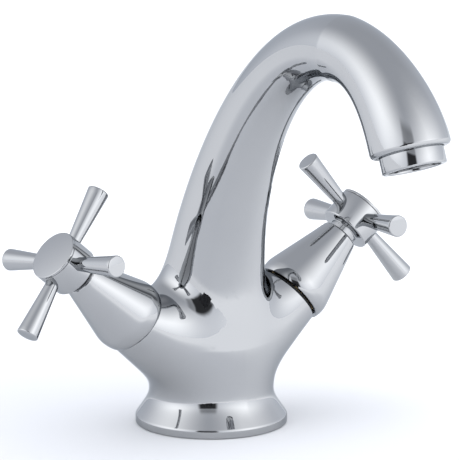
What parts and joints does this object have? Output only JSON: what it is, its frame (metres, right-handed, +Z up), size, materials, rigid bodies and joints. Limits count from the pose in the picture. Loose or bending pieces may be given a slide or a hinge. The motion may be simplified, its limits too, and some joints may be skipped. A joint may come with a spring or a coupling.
{
  "type": "bathroom mixer faucet",
  "caption": "Chrome basin mixer with a swan-neck spout, cross handles on inclined quarter-turn ceramic valves and a screw-in aerator.",
  "frame": {"origin": "middle of the foot's underside, on the basin deck", "axes": "+Z up from the deck, the spout points along -Y, the hot valve is on -X and the cold valve on +X"},
  "size_m": [0.1805, 0.1734, 0.1717],
  "materials": {
    "chrome": "polished chrome plate on cast brass",
    "brass": "machined",
    "steel": "stainless, as stamped",
    "rubber": "moulded black sealing rubber",
    "ceramic": "lapped white alumina",
    "plastic": "moulded acetal"
  },
  "bodies": {
    "tap_body": {"body_casting": "chrome", "base_gasket": "rubber", "aerator_housing": "chrome", "aerator_insert": "plastic", "aerator_screen": "steel", "aerator_washer": "rubber", "hot_seat_seal": "rubber", "hot_fixed_disc": "ceramic", "hot_headwork_body": "brass", "hot_headwork_gasket": "rubber", "hot_shroud": "chrome", "cold_seat_seal": "rubber", "cold_fixed_disc": "ceramic", "cold_headwork_body": "brass", "cold_headwork_gasket": "rubber", "cold_shroud": "chrome"},
    "hot_handle": {"hot_moving_disc": "ceramic", "hot_spindle": "brass", "hot_spindle_o_rings": "rubber", "hot_thrust_washer": "plastic", "hot_circlip": "steel", "hot_handle_hub": "chrome", "hot_spoke_front": "chrome", "hot_spoke_upper": "chrome", "hot_spoke_back": "chrome", "hot_spoke_lower": "chrome", "hot_handle_screw": "steel", "hot_index_cap": "chrome"},
    "cold_handle": {"cold_moving_disc": "ceramic", "cold_spindle": "brass", "cold_spindle_o_rings": "rubber", "cold_thrust_washer": "plastic", "cold_circlip": "steel", "cold_handle_hub": "chrome", "cold_spoke_front": "chrome", "cold_spoke_upper": "chrome", "cold_spoke_back": "chrome", "cold_spoke_lower": "chrome", "cold_handle_screw": "steel", "cold_index_cap": "chrome"}
  },
  "joints": [
    {"name": "hot_valve_turn", "type": "hinge", "parent": "tap_body", "child": "hot_handle", "pos_m": [-0.06729, 0, 0.07087], "axis": [-0.7716, 0, 0.6361], "range_deg": [0, 90]},
    {"name": "cold_valve_turn", "type": "hinge", "parent": "tap_body", "child": "cold_handle", "pos_m": [0.06729, 0, 0.07087], "axis": [-0.7716, 0, -0.6361], "range_deg": [0, 90]}
  ]
}
